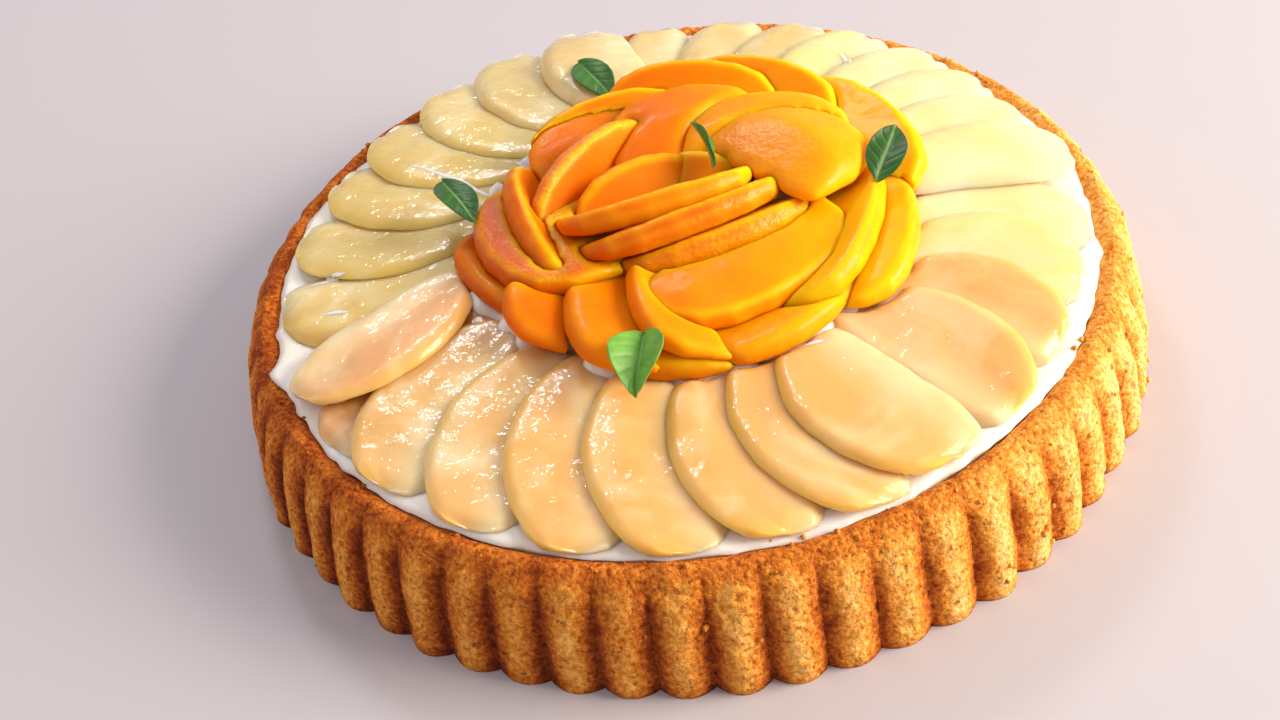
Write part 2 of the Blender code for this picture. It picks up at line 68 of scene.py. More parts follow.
def addNode(tree, kind, settings=None, links=None):
    # settings are the node's own, the stops of a ramp, or sockets by name or number
    node = tree.nodes.new("ShaderNode" + kind)
    for key, value in (settings or {}).items():
        if key == "stops":
            marks = node.color_ramp.elements
            while len(marks) < len(value):
                marks.new(0.5)
            for mark, (place, colour) in zip(marks, value):
                mark.position = place
                mark.color = linear(colour) if isinstance(colour, str) else (colour, colour, colour, 1)
        elif isinstance(key, str) and hasattr(node, key):
            setattr(node, key, value)
        else:
            node.inputs[key].default_value = value
    for key, source in (links or {}).items():
        tree.links.new(source, node.inputs[key])
    return node


def newMaterial(name, shaderSettings):
    made = bpy.data.materials.new(name)
    made.use_nodes = True
    shader = made.node_tree.nodes["Principled BSDF"]
    for key, value in shaderSettings.items():
        shader.inputs[key].default_value = value
    return made, made.node_tree, shader


def patternScale(sizeMm):
    # scale of a noise pattern whose grains are so many millimetres wide
    return 1 / (sizeMm * mm)


latticeCount = 8192
latticeValues = np.random.default_rng(11).random(latticeCount)


def latticeKey(corner):
    # one number for each corner of a grid in space
    return (corner[:, 0] * 73856093) ^ (corner[:, 1] * 19349663) ^ (corner[:, 2] * 83492791)


def drawnAt(key):
    return latticeValues[key & (latticeCount - 1)]


def softNoise(points, sizeMm, seed=0):
    # smooth random waves from -1 to 1, about one every sizeMm; a seed is another part of them
    spots = np.asarray(points) / (np.asarray(sizeMm) * mm) + 31.7 * seed + 500.0
    base = np.floor(spots).astype(np.int64)
    part = spots - base
    part = part * part * (3 - 2 * part)
    total = np.zeros(len(spots))
    for dx in (0, 1):
        for dy in (0, 1):
            for dz in (0, 1):
                weight = 1.0
                for axis, step in enumerate((dx, dy, dz)):
                    weight = weight * (part[:, axis] if step else 1 - part[:, axis])
                total += weight * drawnAt(latticeKey(base + (dx, dy, dz)))
    return 2 * total - 1


def pits(points, sizeMm, seed=0):
    # 1 at the middle of scattered round pits, 0 between them
    spots = np.asarray(points) / (sizeMm * mm) + 19.3 * seed + 700.0
    base = np.floor(spots).astype(np.int64)
    best = np.full(len(spots), 9.0)
    for dx in (-1, 0, 1):
        for dy in (-1, 0, 1):
            for dz in (-1, 0, 1):
                corner = base + (dx, dy, dz)
                key = latticeKey(corner)
                centre = corner + np.stack([drawnAt(key + 97 * k) for k in range(3)], axis=1)
                size = 0.35 + 0.65 * drawnAt(key + 401)
                best = np.minimum(best, np.linalg.norm(spots - centre, axis=1) / size)
    return np.clip(1 - best / 0.5, 0, 1)


def ringPoints(radius, angles, heights):
    # points round the middle, in millimetres
    return np.stack([radius * np.cos(angles), radius * np.sin(angles), heights + 0 * angles], axis=1)


def bandFaces(rings, columns):
    # faces between closed rings of points that follow each other
    faces = []
    for ring in range(rings - 1):
        a, b = ring * columns, (ring + 1) * columns
        for i in range(columns):
            j = (i + 1) % columns
            faces.append((a + i, a + j, b + j, b + i))
    return faces


def gridFaces(rows, columns, start=0):
    # faces of an open grid of points
    faces = []
    for i in range(rows - 1):
        for j in range(columns - 1):
            a = start + i * columns + j
            faces.append((a, a + columns, a + columns + 1, a + 1))
    return faces


def fanFaces(start, columns, middle, flip=False):
    # faces from one ring of points to a point in its middle
    fan = [(start + i, start + (i + 1) % columns, middle) for i in range(columns)]
    return [(b, a, c) for a, b, c in fan] if flip else fan


def makePiece(name, points, faces, finish):
    mesh = bpy.data.meshes.new(name)
    mesh.from_pydata([tuple(p) for p in points], [], [tuple(f) for f in faces])
    mesh.materials.append(finish)
    mesh.shade_smooth()
    made = bpy.data.objects.new(name, mesh)
    scene.collection.objects.link(made)
    return made


def storeValues(mesh, name, values):
    values = np.asarray(values, np.float32)
    if values.ndim == 1:
        mesh.attributes.new(name, "FLOAT", "POINT").data.foreach_set("value", values)
    else:
        full = np.ones((len(values), 4), np.float32)
        full[:, :3] = values[:, :3]
        mesh.attributes.new(name, "FLOAT_COLOR", "POINT").data.foreach_set("color", full.ravel())


def pointsOf(mesh):
    found = np.empty(len(mesh.vertices) * 3)
    mesh.vertices.foreach_get("co", found)
    return found.reshape(-1, 3)


def normalsOf(mesh):
    found = np.empty(len(mesh.vertices) * 3, np.float32)
    mesh.vertices.foreach_get("normal", found)
    return found.reshape(-1, 3).astype(float)


def movePoints(mesh, points):
    mesh.vertices.foreach_set("co", np.asarray(points, np.float32).ravel())
    mesh.update()


def edgesOf(mesh):
    found = np.empty(len(mesh.edges) * 2, np.int32)
    mesh.edges.foreach_get("vertices", found)
    return found.reshape(-1, 2)


def smoothed(points, edges, rounds, share=0.5):
    # each point moves towards the middle of its neighbours, a number of times
    count = len(points)
    ends = np.concatenate([edges, edges[:, ::-1]])
    links = np.maximum(np.bincount(ends[:, 0], minlength=count), 1)
    for _ in range(rounds):
        middle = np.stack(
            [np.bincount(ends[:, 0], points[ends[:, 1], k], count) for k in range(points.shape[1])], axis=1
        ) / links[:, None]
        points = points + share * (middle - points)
    return points


def applied(piece):
    # the piece's mesh with its modifiers worked in
    bpy.context.view_layer.update()
    graph = bpy.context.evaluated_depsgraph_get()
    mesh = bpy.data.meshes.new_from_object(piece.evaluated_get(graph))
    piece.modifiers.clear()
    piece.data = mesh
    return mesh


def welded(mesh):
    # joins the points that lie on each other
    shape = bmesh.new()
    shape.from_mesh(mesh)
    bmesh.ops.remove_doubles(shape, verts=shape.verts, dist=0.01 * mm)
    shape.to_mesh(mesh)
    shape.free()


def seat(piece, slot, *nodes):
    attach(piece, "root")
    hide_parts(*nodes)


# Camera: it looks at the middle of the base from the front, 41 degrees up, rolled 8 degrees
cameraSettings = {
    "frame": (1280, 720),
    "focalPixels": 1438.0,      # in pixels of that frame
    "sensorMm": 36,
    "distance": 0.463,
    "elevation": 41.18,
    "roll": 8.03,
    "baseAt": (688.5, 328.9),   # where the middle of the base falls in the frame
}


def placeCamera(c):
    focal = c["focalPixels"]
    wide, high = c["frame"]
    rise = math.radians(c["elevation"])
    place = c["distance"] * np.array([0, -math.cos(rise), math.sin(rise)])
    ahead = -place / c["distance"]
    right = np.array([1.0, 0, 0])
    base = np.stack([right, np.cross(right, ahead), ahead])
    ray = np.array([(c["baseAt"][0] - wide / 2) / focal, (high / 2 - c["baseAt"][1]) / focal, 1.0])
    ray /= np.linalg.norm(ray)
    turn = np.cross([0, 0, 1.0], ray)
    skew = np.array([[0, -turn[2], turn[1]], [turn[2], 0, -turn[0]], [-turn[1], turn[0], 0]])
    aim = np.eye(3) + skew + skew @ skew / (1 + ray[2])
    cosRoll, sinRoll = math.cos(math.radians(c["roll"])), math.sin(math.radians(c["roll"]))
    rolled = np.array([[cosRoll, -sinRoll, 0], [sinRoll, cosRoll, 0], [0, 0, 1]])
    axes = aim @ rolled @ base
    camera = bpy.data.objects.new("camera", bpy.data.cameras.new("camera"))
    camera.data.sensor_width = c["sensorMm"]
    camera.data.lens = focal / wide * c["sensorMm"]
    camera.data.clip_start = 0.01
    turned = Matrix(np.stack([axes[0], axes[1], -axes[2]], axis=1)).to_4x4()
    camera.matrix_world = Matrix.Translation(place) @ turned
    scene.collection.objects.link(camera)
    scene.camera = camera


placeCamera(cameraSettings)
print("camera set")


# Room: a matt pale board, a soft warm window from the right and a pale sky
room = {
    "floorColour": "C0BDC5",
    "skyColour": "E9E2E2",
    "skyStrength": 0.56,
    "lamps": (
        {"name": "window", "azimuth": -9, "elevation": 26, "distance": 1.6,
         "size": 0.9, "watts": 48, "colour": "FFF0DC"},
        {"name": "backWindow", "azimuth": 101, "elevation": 43, "distance": 1.7,
         "size": 0.3, "watts": 7, "colour": "F8F8FF"},
        {"name": "farWall", "azimuth": 180, "elevation": 36, "distance": 1.8,
         "size": 2.0, "watts": 9, "colour": "FFEEDF"},
    ),
    "reach": 6,                 # metres of floor to each side
}


def areaLight(settings):
    turn, rise = math.radians(settings["azimuth"]), math.radians(settings["elevation"])
    name = settings["name"]
    light = bpy.data.lights.new(name, "AREA")
    light.energy = settings["watts"]
    light.size = settings["size"]
    light.color = linear(settings["colour"])[:3]
    made = bpy.data.objects.new(name, light)
    towards = np.array([math.cos(turn) * math.cos(rise), math.sin(turn) * math.cos(rise), math.sin(rise)])
    made.location = settings["distance"] * towards
    made.rotation_mode = "QUATERNION"
    made.rotation_quaternion = made.location.to_track_quat("Z", "Y")
    scene.collection.objects.link(made)


def makeRoom(r):
    # painted board: matt, so it takes a soft shadow and no reflection
    board, _, _ = newMaterial(
        "painted board, matt", {"Roughness": 0.7, "Base Color": linear(r["floorColour"])}
    )
    far = r["reach"]
    corners = [(-far, -far, 0.0), (far, -far, 0.0), (far, far, 0.0), (-far, far, 0.0)]
    makePiece("floor", corners, [(0, 1, 2, 3)], board)
    for lamp in r["lamps"]:
        areaLight(lamp)
    world = bpy.data.worlds.new("sky")
    world.use_nodes = True
    sky = world.node_tree.nodes["Background"]
    sky.inputs["Color"].default_value = linear(r["skyColour"])
    sky.inputs["Strength"].default_value = r["skyStrength"]
    scene.world = world
    scene.view_settings.view_transform = "Standard"


makeRoom(room)
print("room set")


# Sponge case: baked in a fluted tin and turned out, so its wall is browned and finely pored
case = {
    "flutes": 60,
    "fluteDepth": 3.2,
    "fluteRoundness": 0.85,
    "grooveAngle": 3.75,
    "ribUneven": 1.1,
    "perFlute": 24,
    "foot": (100.0, 0.0),
    # radius, height and how much of the flutes shows there
    "wall": ((140.0, 0.0, 1.0), (138.9, 11.0, 1.0), (137.0, 21.0, 0.95), (134.6, 28.5, 0.68),
             (131.6, 33.6, 0.28), (127.8, 36.0, 0.05)),
    "wallRows": 46,
    "evenedOver": 7,            # rows
    "crownInner": (124.2, 34.9),
    "crownRise": 0.35,
    "crownRows": 7,
    "innerLip": (123.2, 33.4),
    "wellLip": (122.2, 31.5),
    "wellFloor": (119.6, 25.0),
    "swells": ((0.50, 16, 1), (0.30, 5, 2), (0.14, 1.4, 10)),   # height, size and seed
    "grain": (0.24, 0.30, 2.6, 3),      # height, more on the pale side, size and seed
    "pits": (0.6, 4.2, 4),              # depth, size and seed
    "torn": (196, 4.5, 1.3, 2.2, 14),   # degrees, spread, depth, grain and seed of the lost crumb
    "paintedLightAt": 10,                     # degrees, the side painted palest, as if lit there by the window
    # browning, with painted shade: far darkens the side away from the window, the groove terms darken the
    # grooves, more on that side, and pit darkens the pits
    "browning": {"least": -0.01, "groove": 0.34, "paintedGrooveShadeAway": 0.26, "far": 0.38, "crown": 0.24,
                 "foot": 0.14, "paintedPitShade": 0.15, "hidden": 0.5},
}


def awayFromLight(angles):
    # 0 on the side painted as lit, 1 on the side painted in shade
    return 0.5 - 0.5 * np.cos(angles - math.radians(case["paintedLightAt"]))


def spongeMaterial():
    # baked sponge: matt, open crumb; browned from the tin, with painted light making it golden on the
    # window's side and painted shade darkening the far side, its grooves and its pores
    made, tree, shader = newMaterial("baked sponge, browned", {
        "Roughness": 0.85, "IOR": 1.45, "Specular IOR Level": 0.2, "Subsurface Weight": 0.15,
        "Subsurface Scale": 2 * mm, "Subsurface Radius": (1.0, 0.5, 0.2),
    })
    place = {"Vector": addNode(tree, "TexCoord").outputs["Object"]}
    # patches of browning 17 mm wide, crumb of 1.3 mm and pores of 1.8 mm
    broad = addNode(tree, "TexNoise", {"Scale": patternScale(16.67), "Detail": 3.0, "Roughness": 0.6}, place)
    crumb = addNode(tree, "TexNoise", {"Scale": patternScale(1.316), "Detail": 4.0, "Roughness": 0.6}, place)
    pores = addNode(tree, "TexNoise", {"Scale": patternScale(1.786), "Detail": 2.0, "Roughness": 0.5}, place)
    browning = addNode(tree, "Attribute", {"attribute_name": "browning"})
    patched = addNode(
        tree, "Math", {"operation": "MULTIPLY_ADD", 1: 0.5},
        {0: broad.outputs["Fac"], 2: browning.outputs["Fac"]},
    )
    shade = addNode(tree, "Math", {"operation": "ADD"}, {0: crumb.outputs["Fac"], 1: patched.outputs[0]})
    level = addNode(tree, "Math", {"operation": "SUBTRACT", 1: 0.72}, {0: shade.outputs[0]})
    baked = addNode(tree, "ValToRGB", {"stops": (
        (0.02, "FFD384"), (0.22, "F8B04E"), (0.44, "DA8028"), (0.70, "A84C14"), (0.98, "6E2A0A"),
    )}, {"Fac": level.outputs[0]})
    # painted shade in the pores: the pore pattern darkens the colour
    paintedPoreShade = addNode(
        tree, "ValToRGB", {"stops": ((0.32, "7A3C10"), (0.40, "FFFFFF"))}, {"Fac": pores.outputs["Fac"]}
    )
    colour = addNode(
        tree, "Mix", {"data_type": "RGBA", "blend_type": "MULTIPLY", 0: 0.55},
        {6: baked.outputs["Color"], 7: paintedPoreShade.outputs["Color"]},
    )
    tree.links.new(colour.outputs[2], shader.inputs["Base Color"])
    poreBump = addNode(
        tree, "Bump", {"Strength": 0.8, "Distance": 1.2 * mm}, {"Height": pores.outputs["Fac"]}
    )
    bump = addNode(
        tree, "Bump", {"Strength": 1.0, "Distance": 1.2 * mm},
        {"Height": crumb.outputs["Fac"], "Normal": poreBump.outputs["Normal"]},
    )
    tree.links.new(bump.outputs["Normal"], shader.inputs["Normal"])
    return made


def caseProfile(c):
    # rings from the underside up the wall, over the crown and down to the well's floor
    wall = np.array(c["wall"])
    heights = np.linspace(0, 1, c["wallRows"]) ** 0.9 * wall[-1, 1]
    radii = np.interp(heights, wall[:, 1], wall[:, 0])
    shares = np.interp(heights, wall[:, 1], wall[:, 2])
    span = c["evenedOver"]
    padded = np.pad(radii, span // 2, mode="reflect", reflect_type="odd")
    radii = np.convolve(padded, np.ones(span) / span, "valid")
    rings = [(*c["foot"], 0.0)] + list(zip(radii, heights, shares))
    topRadius, topHeight = wall[-1, :2]
    innerRadius, innerHeight = c["crownInner"]
    for s in np.linspace(0, 1, c["crownRows"])[1:]:
        radius = topRadius + (innerRadius - topRadius) * s
        height = topHeight + (innerHeight - topHeight) * s + c["crownRise"] * math.sin(math.pi * s)
        rings.append((radius, height, 0.12 * (1 - s)))
    return rings + [(*c[name], 0.0) for name in ("innerLip", "wellLip", "wellFloor")]


def makeCase(c):
    brown = c["browning"]
    columns = c["flutes"] * c["perFlute"]
    angles = math.radians(c["grooveAngle"]) + np.arange(columns) * 2 * math.pi / columns
    acrossFlute = (np.degrees(angles) - c["grooveAngle"]) * c["flutes"] / 360 % 1.0
    bulge = np.sin(math.pi * acrossFlute) ** c["fluteRoundness"]
    uneven = c["ribUneven"] * (latticeValues[np.arange(columns) // c["perFlute"]] - 0.5) * bulge
    far = awayFromLight(angles)
    rings = caseProfile(c)
    points, browning = [], []
    for r, z, share in rings:
        points.append(ringPoints(r + share * (uneven - c["fluteDepth"] * (1 - bulge)), angles, z))
        # painted shade: darker in the grooves and on the side away from the window, added to the browning
        groove = np.clip((1 - bulge) * share * 1.5, 0, 1)
        onCrown, atFoot = np.clip((z - 31) / 4, 0, 1), np.clip(1 - z / 4, 0, 1)
        browning.append(
            brown["least"] + (brown["groove"] + brown["paintedGrooveShadeAway"] * far) * groove
            + brown["far"] * far + brown["crown"] * onCrown + brown["foot"] * atFoot
        )
    middles = np.array([[0, 0, 0.0], [0, 0, c["wellFloor"][1]]])
    points = np.concatenate(points + [middles]) * mm
    browning = np.concatenate(browning + [np.full(2, brown["hidden"])])

    # the wall swells and dips, has pits, and lost some crumb at one place of its rim
    outward = points * (1, 1, 0)
    outward /= np.maximum(np.linalg.norm(outward, axis=1), 1e-6)[:, None]
    height = points[:, 2] / mm
    outside = np.linalg.norm(points[:, :2], axis=1) > (c["wellLip"][0] - 0.7) * mm
    onWall = np.clip(height / 2.0, 0, 1) * outside
    onCrown = np.clip((height - 33) / 2, 0, 1)
    turn = np.arctan2(points[:, 1], points[:, 0])
    swell = sum(rise * softNoise(points, size, seed) for rise, size, seed in c["swells"])
    rise, paleRise, size, seed = c["grain"]
    swell += (rise + paleRise * (1 - awayFromLight(turn))) * softNoise(points, size, seed)
    depth, size, seed = c["pits"]
    hole = pits(points, size, seed)
    push = (swell - depth * hole) * mm * onWall
    tornAt, spread, depth, size, seed = c["torn"]
    torn = np.exp(-((np.degrees(turn) % 360 - tornAt) / spread) ** 2) * onCrown
    push -= torn * (depth + softNoise(points, size, seed)) * mm
    points += outward * (push * (1 - 0.6 * onCrown))[:, None]
    points[:, 2] += push * (0.25 + 0.5 * onCrown)
    # painted shade: darker in the pits
    browning += brown["paintedPitShade"] * hole * onWall

    faces = bandFaces(len(rings), columns)
    faces += fanFaces(0, columns, len(points) - 2, flip=True)
    faces += fanFaces((len(rings) - 1) * columns, columns, len(points) - 1)
    piece = makePiece("spongeCase", points, faces, spongeMaterial())
    storeValues(piece.data, "browning", browning)
    seat(piece, "crust", "sponge_case")


makeCase(case)
print("sponge case made")


# Cream: whipped, spread with a palette knife, so it lies in soft ridges up to the crown
cream = {
    "edge": (123.6, 35.0),
    "edgeWaves": ((1.2, 13, 5), (0.9, 4, 6)),       # height, size and seed
    "edgeDrop": 0.5,
    "rings": ((104.0, 35.6), (78.0, 37.2), (42.0, 38.6), (0.0, 39.0)),
    "skirt": ((119.9, 25.35), (121.6, 31.5)),       # the hidden side, down in the well
    "columns": 420,
    "rows": 56,
    "smear": (197, 2.2, 3.6, 1.3),                  # degrees, spread, reach and rise over the crown
    "strokes": (0.55, (5, 12, 5), 7),               # of the knife: height, sizes and seed
    "ridges": ((0.35, 6, 8), (0.14, 2.0, 9)),
    "lumps": (1.3, 9, 17, 70),                      # height, size, seed and how far out
    "lap": (0.55, 0.5, 7, 15),                      # against the crown: height, change, size and seed
    "bits": (58.0, 68.0),                           # between the pears' inner ends and the rose
    "bitsRise": (3.5, 5, 5, 16, 7),                 # height, change, size, seed and most
}


def creamMaterial():
    # whipped cream: near white, soft, light goes a few millimetres in
    made, tree, shader = newMaterial("whipped cream", {
        "Roughness": 0.42, "IOR": 1.35, "Specular IOR Level": 0.4, "Subsurface Weight": 0.6,
        "Subsurface Scale": 6 * mm, "Subsurface Radius": (1.0, 0.8, 0.55),
    })
    place = {"Vector": addNode(tree, "TexCoord").outputs["Object"]}
    # folds 14 mm wide in the colour, and bubbles of 2.4 mm, coarser than the real ones so that they show
    folds = addNode(tree, "TexNoise", {"Scale": patternScale(14.286), "Detail": 3.0}, place)
    colour = addNode(
        tree, "ValToRGB", {"stops": ((0.3, "FBF3E6"), (0.7, "FFFBF4"))}, {"Fac": folds.outputs["Fac"]}
    )
    tree.links.new(colour.outputs["Color"], shader.inputs["Base Color"])
    bubbles = addNode(tree, "TexNoise", {"Scale": patternScale(2.381), "Detail": 3.0}, place)
    bump = addNode(tree, "Bump", {"Strength": 0.25, "Distance": 0.6 * mm}, {"Height": bubbles.outputs["Fac"]})
    tree.links.new(bump.outputs["Normal"], shader.inputs["Normal"])
    return made


def makeCream(c):
    columns, rows = c["columns"], c["rows"]
    angles = np.arange(columns) * 2 * math.pi / columns
    brim = ringPoints(123, angles, 0) * mm
    smearAt, spread, reach, smearRise = c["smear"]
    smear = np.exp(-((np.degrees(angles) - smearAt) / spread) ** 2)
    edge = c["edge"][0] + sum(rise * softNoise(brim, size, seed) for rise, size, seed in c["edgeWaves"])
    edge = edge + reach * smear
    profile = np.array(sorted(c["rings"] + (c["edge"],)))
    points = [ringPoints(r, angles, z) for r, z in c["skirt"]]
    strokeRise, strokeSizes, strokeSeed = c["strokes"]
    lumpRise, lumpSize, lumpSeed, lumpReach = c["lumps"]
    lapRise, lapChange, lapSize, lapSeed = c["lap"]
    inner, outer = c["bits"]
    bitRise, bitChange, bitSize, bitSeed, bitMost = c["bitsRise"]
    for k, s in enumerate(np.linspace(1, 0.02, rows) ** 0.9):
        atEdge = k == 0
        r = edge * s
        ring = ringPoints(r, angles, np.interp(r, profile[:, 0], profile[:, 1]) - c["edgeDrop"] * atEdge)
        spots = ring * mm
        strokes = np.stack([r * 0.35, np.degrees(angles) * 0.7, 0 * r], axis=1) * mm
        ridge = strokeRise * softNoise(strokes, strokeSizes, strokeSeed)
        ridge += sum(rise * softNoise(spots, size, seed) for rise, size, seed in c["ridges"])
        lump = np.clip(softNoise(spots, lumpSize, lumpSeed), 0, 1)
        ridge += lumpRise * lump * np.clip((lumpReach - r) / 8, 0, 1)
        lap = (lapRise + lapChange * softNoise(spots, lapSize, lapSeed)) * np.clip((s - 0.9) / 0.08, 0, 1)
        ring[:, 2] += ridge * (0.3 if atEdge else 1) + 1.5 * lap
        ring[:, 2] += smearRise * smear * np.clip((s - 0.96) / 0.03, 0, 1)
        between = np.clip((r - inner) / 2, 0, 1) * np.clip((outer - r) / 3, 0, 1)
        bits = bitRise + bitChange * softNoise(ring * mm, bitSize, bitSeed)
        ring[:, 2] += between * np.clip(bits, 0, bitMost)
        points.append(ring)
    middles = np.array([[0, 0, c["rings"][-1][1]], [0, 0, c["skirt"][0][1]]])
    points = np.concatenate(points + [middles]) * mm
    faces = bandFaces(rows + 2, columns)
    faces += fanFaces((rows + 1) * columns, columns, len(points) - 2)
    faces += fanFaces(0, columns, len(points) - 1, flip=True)
    piece = makePiece("whippedCream", points, faces, creamMaterial())
    seat(piece, "cream", "cream_filling")


makeCream(cream)
print("cream spread")


# Pears: poached white in syrup, sliced 4 mm thick; glassy and wet; painted paler where they are thin and with
# a painted yellow glow at the thick edge, for light through the flesh.
# Each row repeats its slice's outline: inner angle and radius, outer angle and radius, width, bow side.
pears = {
    "rows": (
        (350, 0.46, 350, 0.870, 34, 1), (85, 0.44, 88, 0.905, 29, 1), (69, 0.44, 75, 0.910, 29, 1),
        (60, 0.45, 63, 0.900, 29, 1), (48, 0.46, 52, 0.890, 32, 1), (38, 0.46, 39, 0.880, 31, 1),
        (27, 0.46, 28, 0.865, 30, 1), (17, 0.46, 16, 0.850, 31, 1), (6, 0.45, 4, 0.875, 32, 1),
        (337, 0.45, 338, 0.850, 34, 1), (324, 0.45, 325, 0.855, 34, 1), (314, 0.42, 311.5, 0.870, 34, 1),
        (180, 0.43, 184, 0.870, 37, 1), (163, 0.42, 168, 0.872, 37, 1), (149, 0.42, 153, 0.878, 37, 1),
        (134, 0.43, 140, 0.895, 37, 1), (121, 0.43, 126, 0.910, 36, 1), (108, 0.44, 114, 0.930, 35, 1),
        (94, 0.44, 101, 0.930, 35, 1), (206, 0.44, 215, 0.868, 33, -1), (214, 0.43, 226, 0.872, 34, -1),
        (231, 0.42, 240, 0.876, 33, -1), (241, 0.42, 254, 0.880, 32, -1), (256, 0.43, 266.5, 0.884, 32, -1),
        (275, 0.42, 278, 0.880, 32, -1), (190, 0.46, 205, 0.870, 32, 1), (286, 0.42, 289.5, 0.886, 32, -1),
        (298, 0.44, 300, 0.880, 36, -1),
    ),
    "baseRadius": 140.0,
    "bow": 0.16,
    "widest": 0.6,
    "innerRoundness": 0.44,
    "outerRoundness": 0.29,
    "stations": 56,
    "columns": 34,
    "leastThickness": 1.2,
    "sunk": 1.8,                # into what it lies on, so no gap shows under it
    "edgeHeight": 0.25,         # of its thickness
    "edgeWobbles": ((0.035, 8, 12), (0.014, 2.6, 13)),      # share of the width, size and seed
    "waves": ((0.30, 11, 0), (0.10, 3.2, 40)),              # height, size and seed
    "hollow": 0.35,
    # colour, width of the rounded edge and strength of its painted glow
    "kinds": {
        "palest": ("FFE6B0", 8.0, 0.35), "pale": ("FFDF9C", 6.5, 0.45), "honey": ("D6C288", 8.0, 0.4),
        "green": ("DCC274", 9.0, 0.55), "gold": ("EDB470", 4.2, 0.9), "pink": ("ECB480", 4.8, 0.6),
        "peachy": ("DFB67A", 4.2, 0.7), "tan": ("C28848", 4.5, 0.6),
    },
    "kindOf": ("palest honey honey honey pale palest palest palest palest pale gold gold green green "
               "green green green honey honey tan peachy peachy gold gold gold pink gold gold").split(),
    # painted light through the thin side: the tint there is mixed towards this colour
    "thinColour": "FFEBC0",
}


def pearMaterial():
    # poached pear: soft wet flesh that light soaks into, with a painted yellow glow at its thick edge
    made, tree, shader = newMaterial("poached pear flesh", {
        "Roughness": 0.34, "IOR": 1.36, "Subsurface Weight": 1.0, "Subsurface Scale": 7 * mm,
        "Subsurface Radius": (1.0, 0.88, 0.62), "Coat Weight": 0.8, "Coat Roughness": 0.09, "Coat IOR": 1.38,
    })
    place = {"Vector": addNode(tree, "TexCoord").outputs["Object"]}
    tint = addNode(tree, "Attribute", {"attribute_name": "tint"}).outputs["Color"]
    rim = addNode(tree, "Attribute", {"attribute_name": "rim"}).outputs["Fac"]
    # honey patches 18 mm wide and milky ones 24 mm wide
    patches = addNode(tree, "TexNoise", {"Scale": patternScale(18.182), "Detail": 2.0}, place)
    patched = addNode(
        tree, "ValToRGB", {"stops": ((0.35, "FFE2A8"), (0.62, "FFFFFF"))}, {"Fac": patches.outputs["Fac"]}
    )
    milk = addNode(tree, "TexNoise", {"Scale": patternScale(23.81), "Detail": 4.0, "Distortion": 0.8}, place)
    milky = addNode(tree, "ValToRGB", {"stops": ((0.48, 0.0), (0.74, 0.42))}, {"Fac": milk.outputs["Fac"]})
    flesh = addNode(
        tree, "Mix", {"data_type": "RGBA", "blend_type": "MULTIPLY", 0: 0.4},
        {6: tint, 7: patched.outputs["Color"]},
    )
    clouded = addNode(
        tree, "Mix", {"data_type": "RGBA", 7: linear("FFF2D4")},
        {0: milky.outputs["Color"], 6: flesh.outputs[2]},
    )
    # painted glow: the thick edge is mixed towards yellow
    edged = addNode(tree, "Mix", {"data_type": "RGBA", 7: linear("FBB748")}, {0: rim, 6: clouded.outputs[2]})
    tree.links.new(edged.outputs[2], shader.inputs["Base Color"])
    # grit cells of about 4 mm, coarser than the real ones so that they show, and runs of syrup of 7 mm
    grit = addNode(tree, "TexNoise", {"Scale": patternScale(4.167), "Detail": 4.0, "Roughness": 0.55}, place)
    bump = addNode(tree, "Bump", {"Strength": 0.3, "Distance": 0.6 * mm}, {"Height": grit.outputs["Fac"]})
    tree.links.new(bump.outputs["Normal"], shader.inputs["Normal"])
    syrup = addNode(tree, "TexNoise", {"Scale": patternScale(6.667), "Detail": 3.0}, place)
    film = addNode(tree, "Bump", {"Strength": 0.8, "Distance": 1.9 * mm}, {"Height": syrup.outputs["Fac"]})
    tree.links.new(film.outputs["Normal"], shader.inputs["Coat Normal"])
    return made


def pearWidth(s, p):
    inner = 1 - (1 - np.minimum(s / p["widest"], 1)) ** 2
    outer = 1 - np.clip((s - p["widest"]) / (1 - p["widest"]), 0, 1) ** 2
    return np.where(s < p["widest"], inner ** p["innerRoundness"], outer ** p["outerRoundness"])


def heightsOn(tree, spots, fromAbove):
    # height of the solid's face over each spot, nan where it has none
    start, down = (1.0, -1.0) if fromAbove else (-1.0, 1.0)
    found = [tree.ray_cast((x, y, start), (0, 0, down))[0] for x, y in spots]
    return np.array([np.nan if hit is None else hit[2] for hit in found])


def spreadGrid(values, rounds):
    # fills the gaps of a grid from their neighbours, then evens all of it
    known = np.isfinite(values)
    values = np.where(known, values, np.nanmean(values))
    for turn in range(60 + rounds):
        padded = np.pad(values, 1, mode="edge")
        around = (padded[:-2, 1:-1] + padded[2:, 1:-1] + padded[1:-1, :-2] + padded[1:-1, 2:]) / 4
        values = np.where(known & (turn < 60), values, around)
    return values


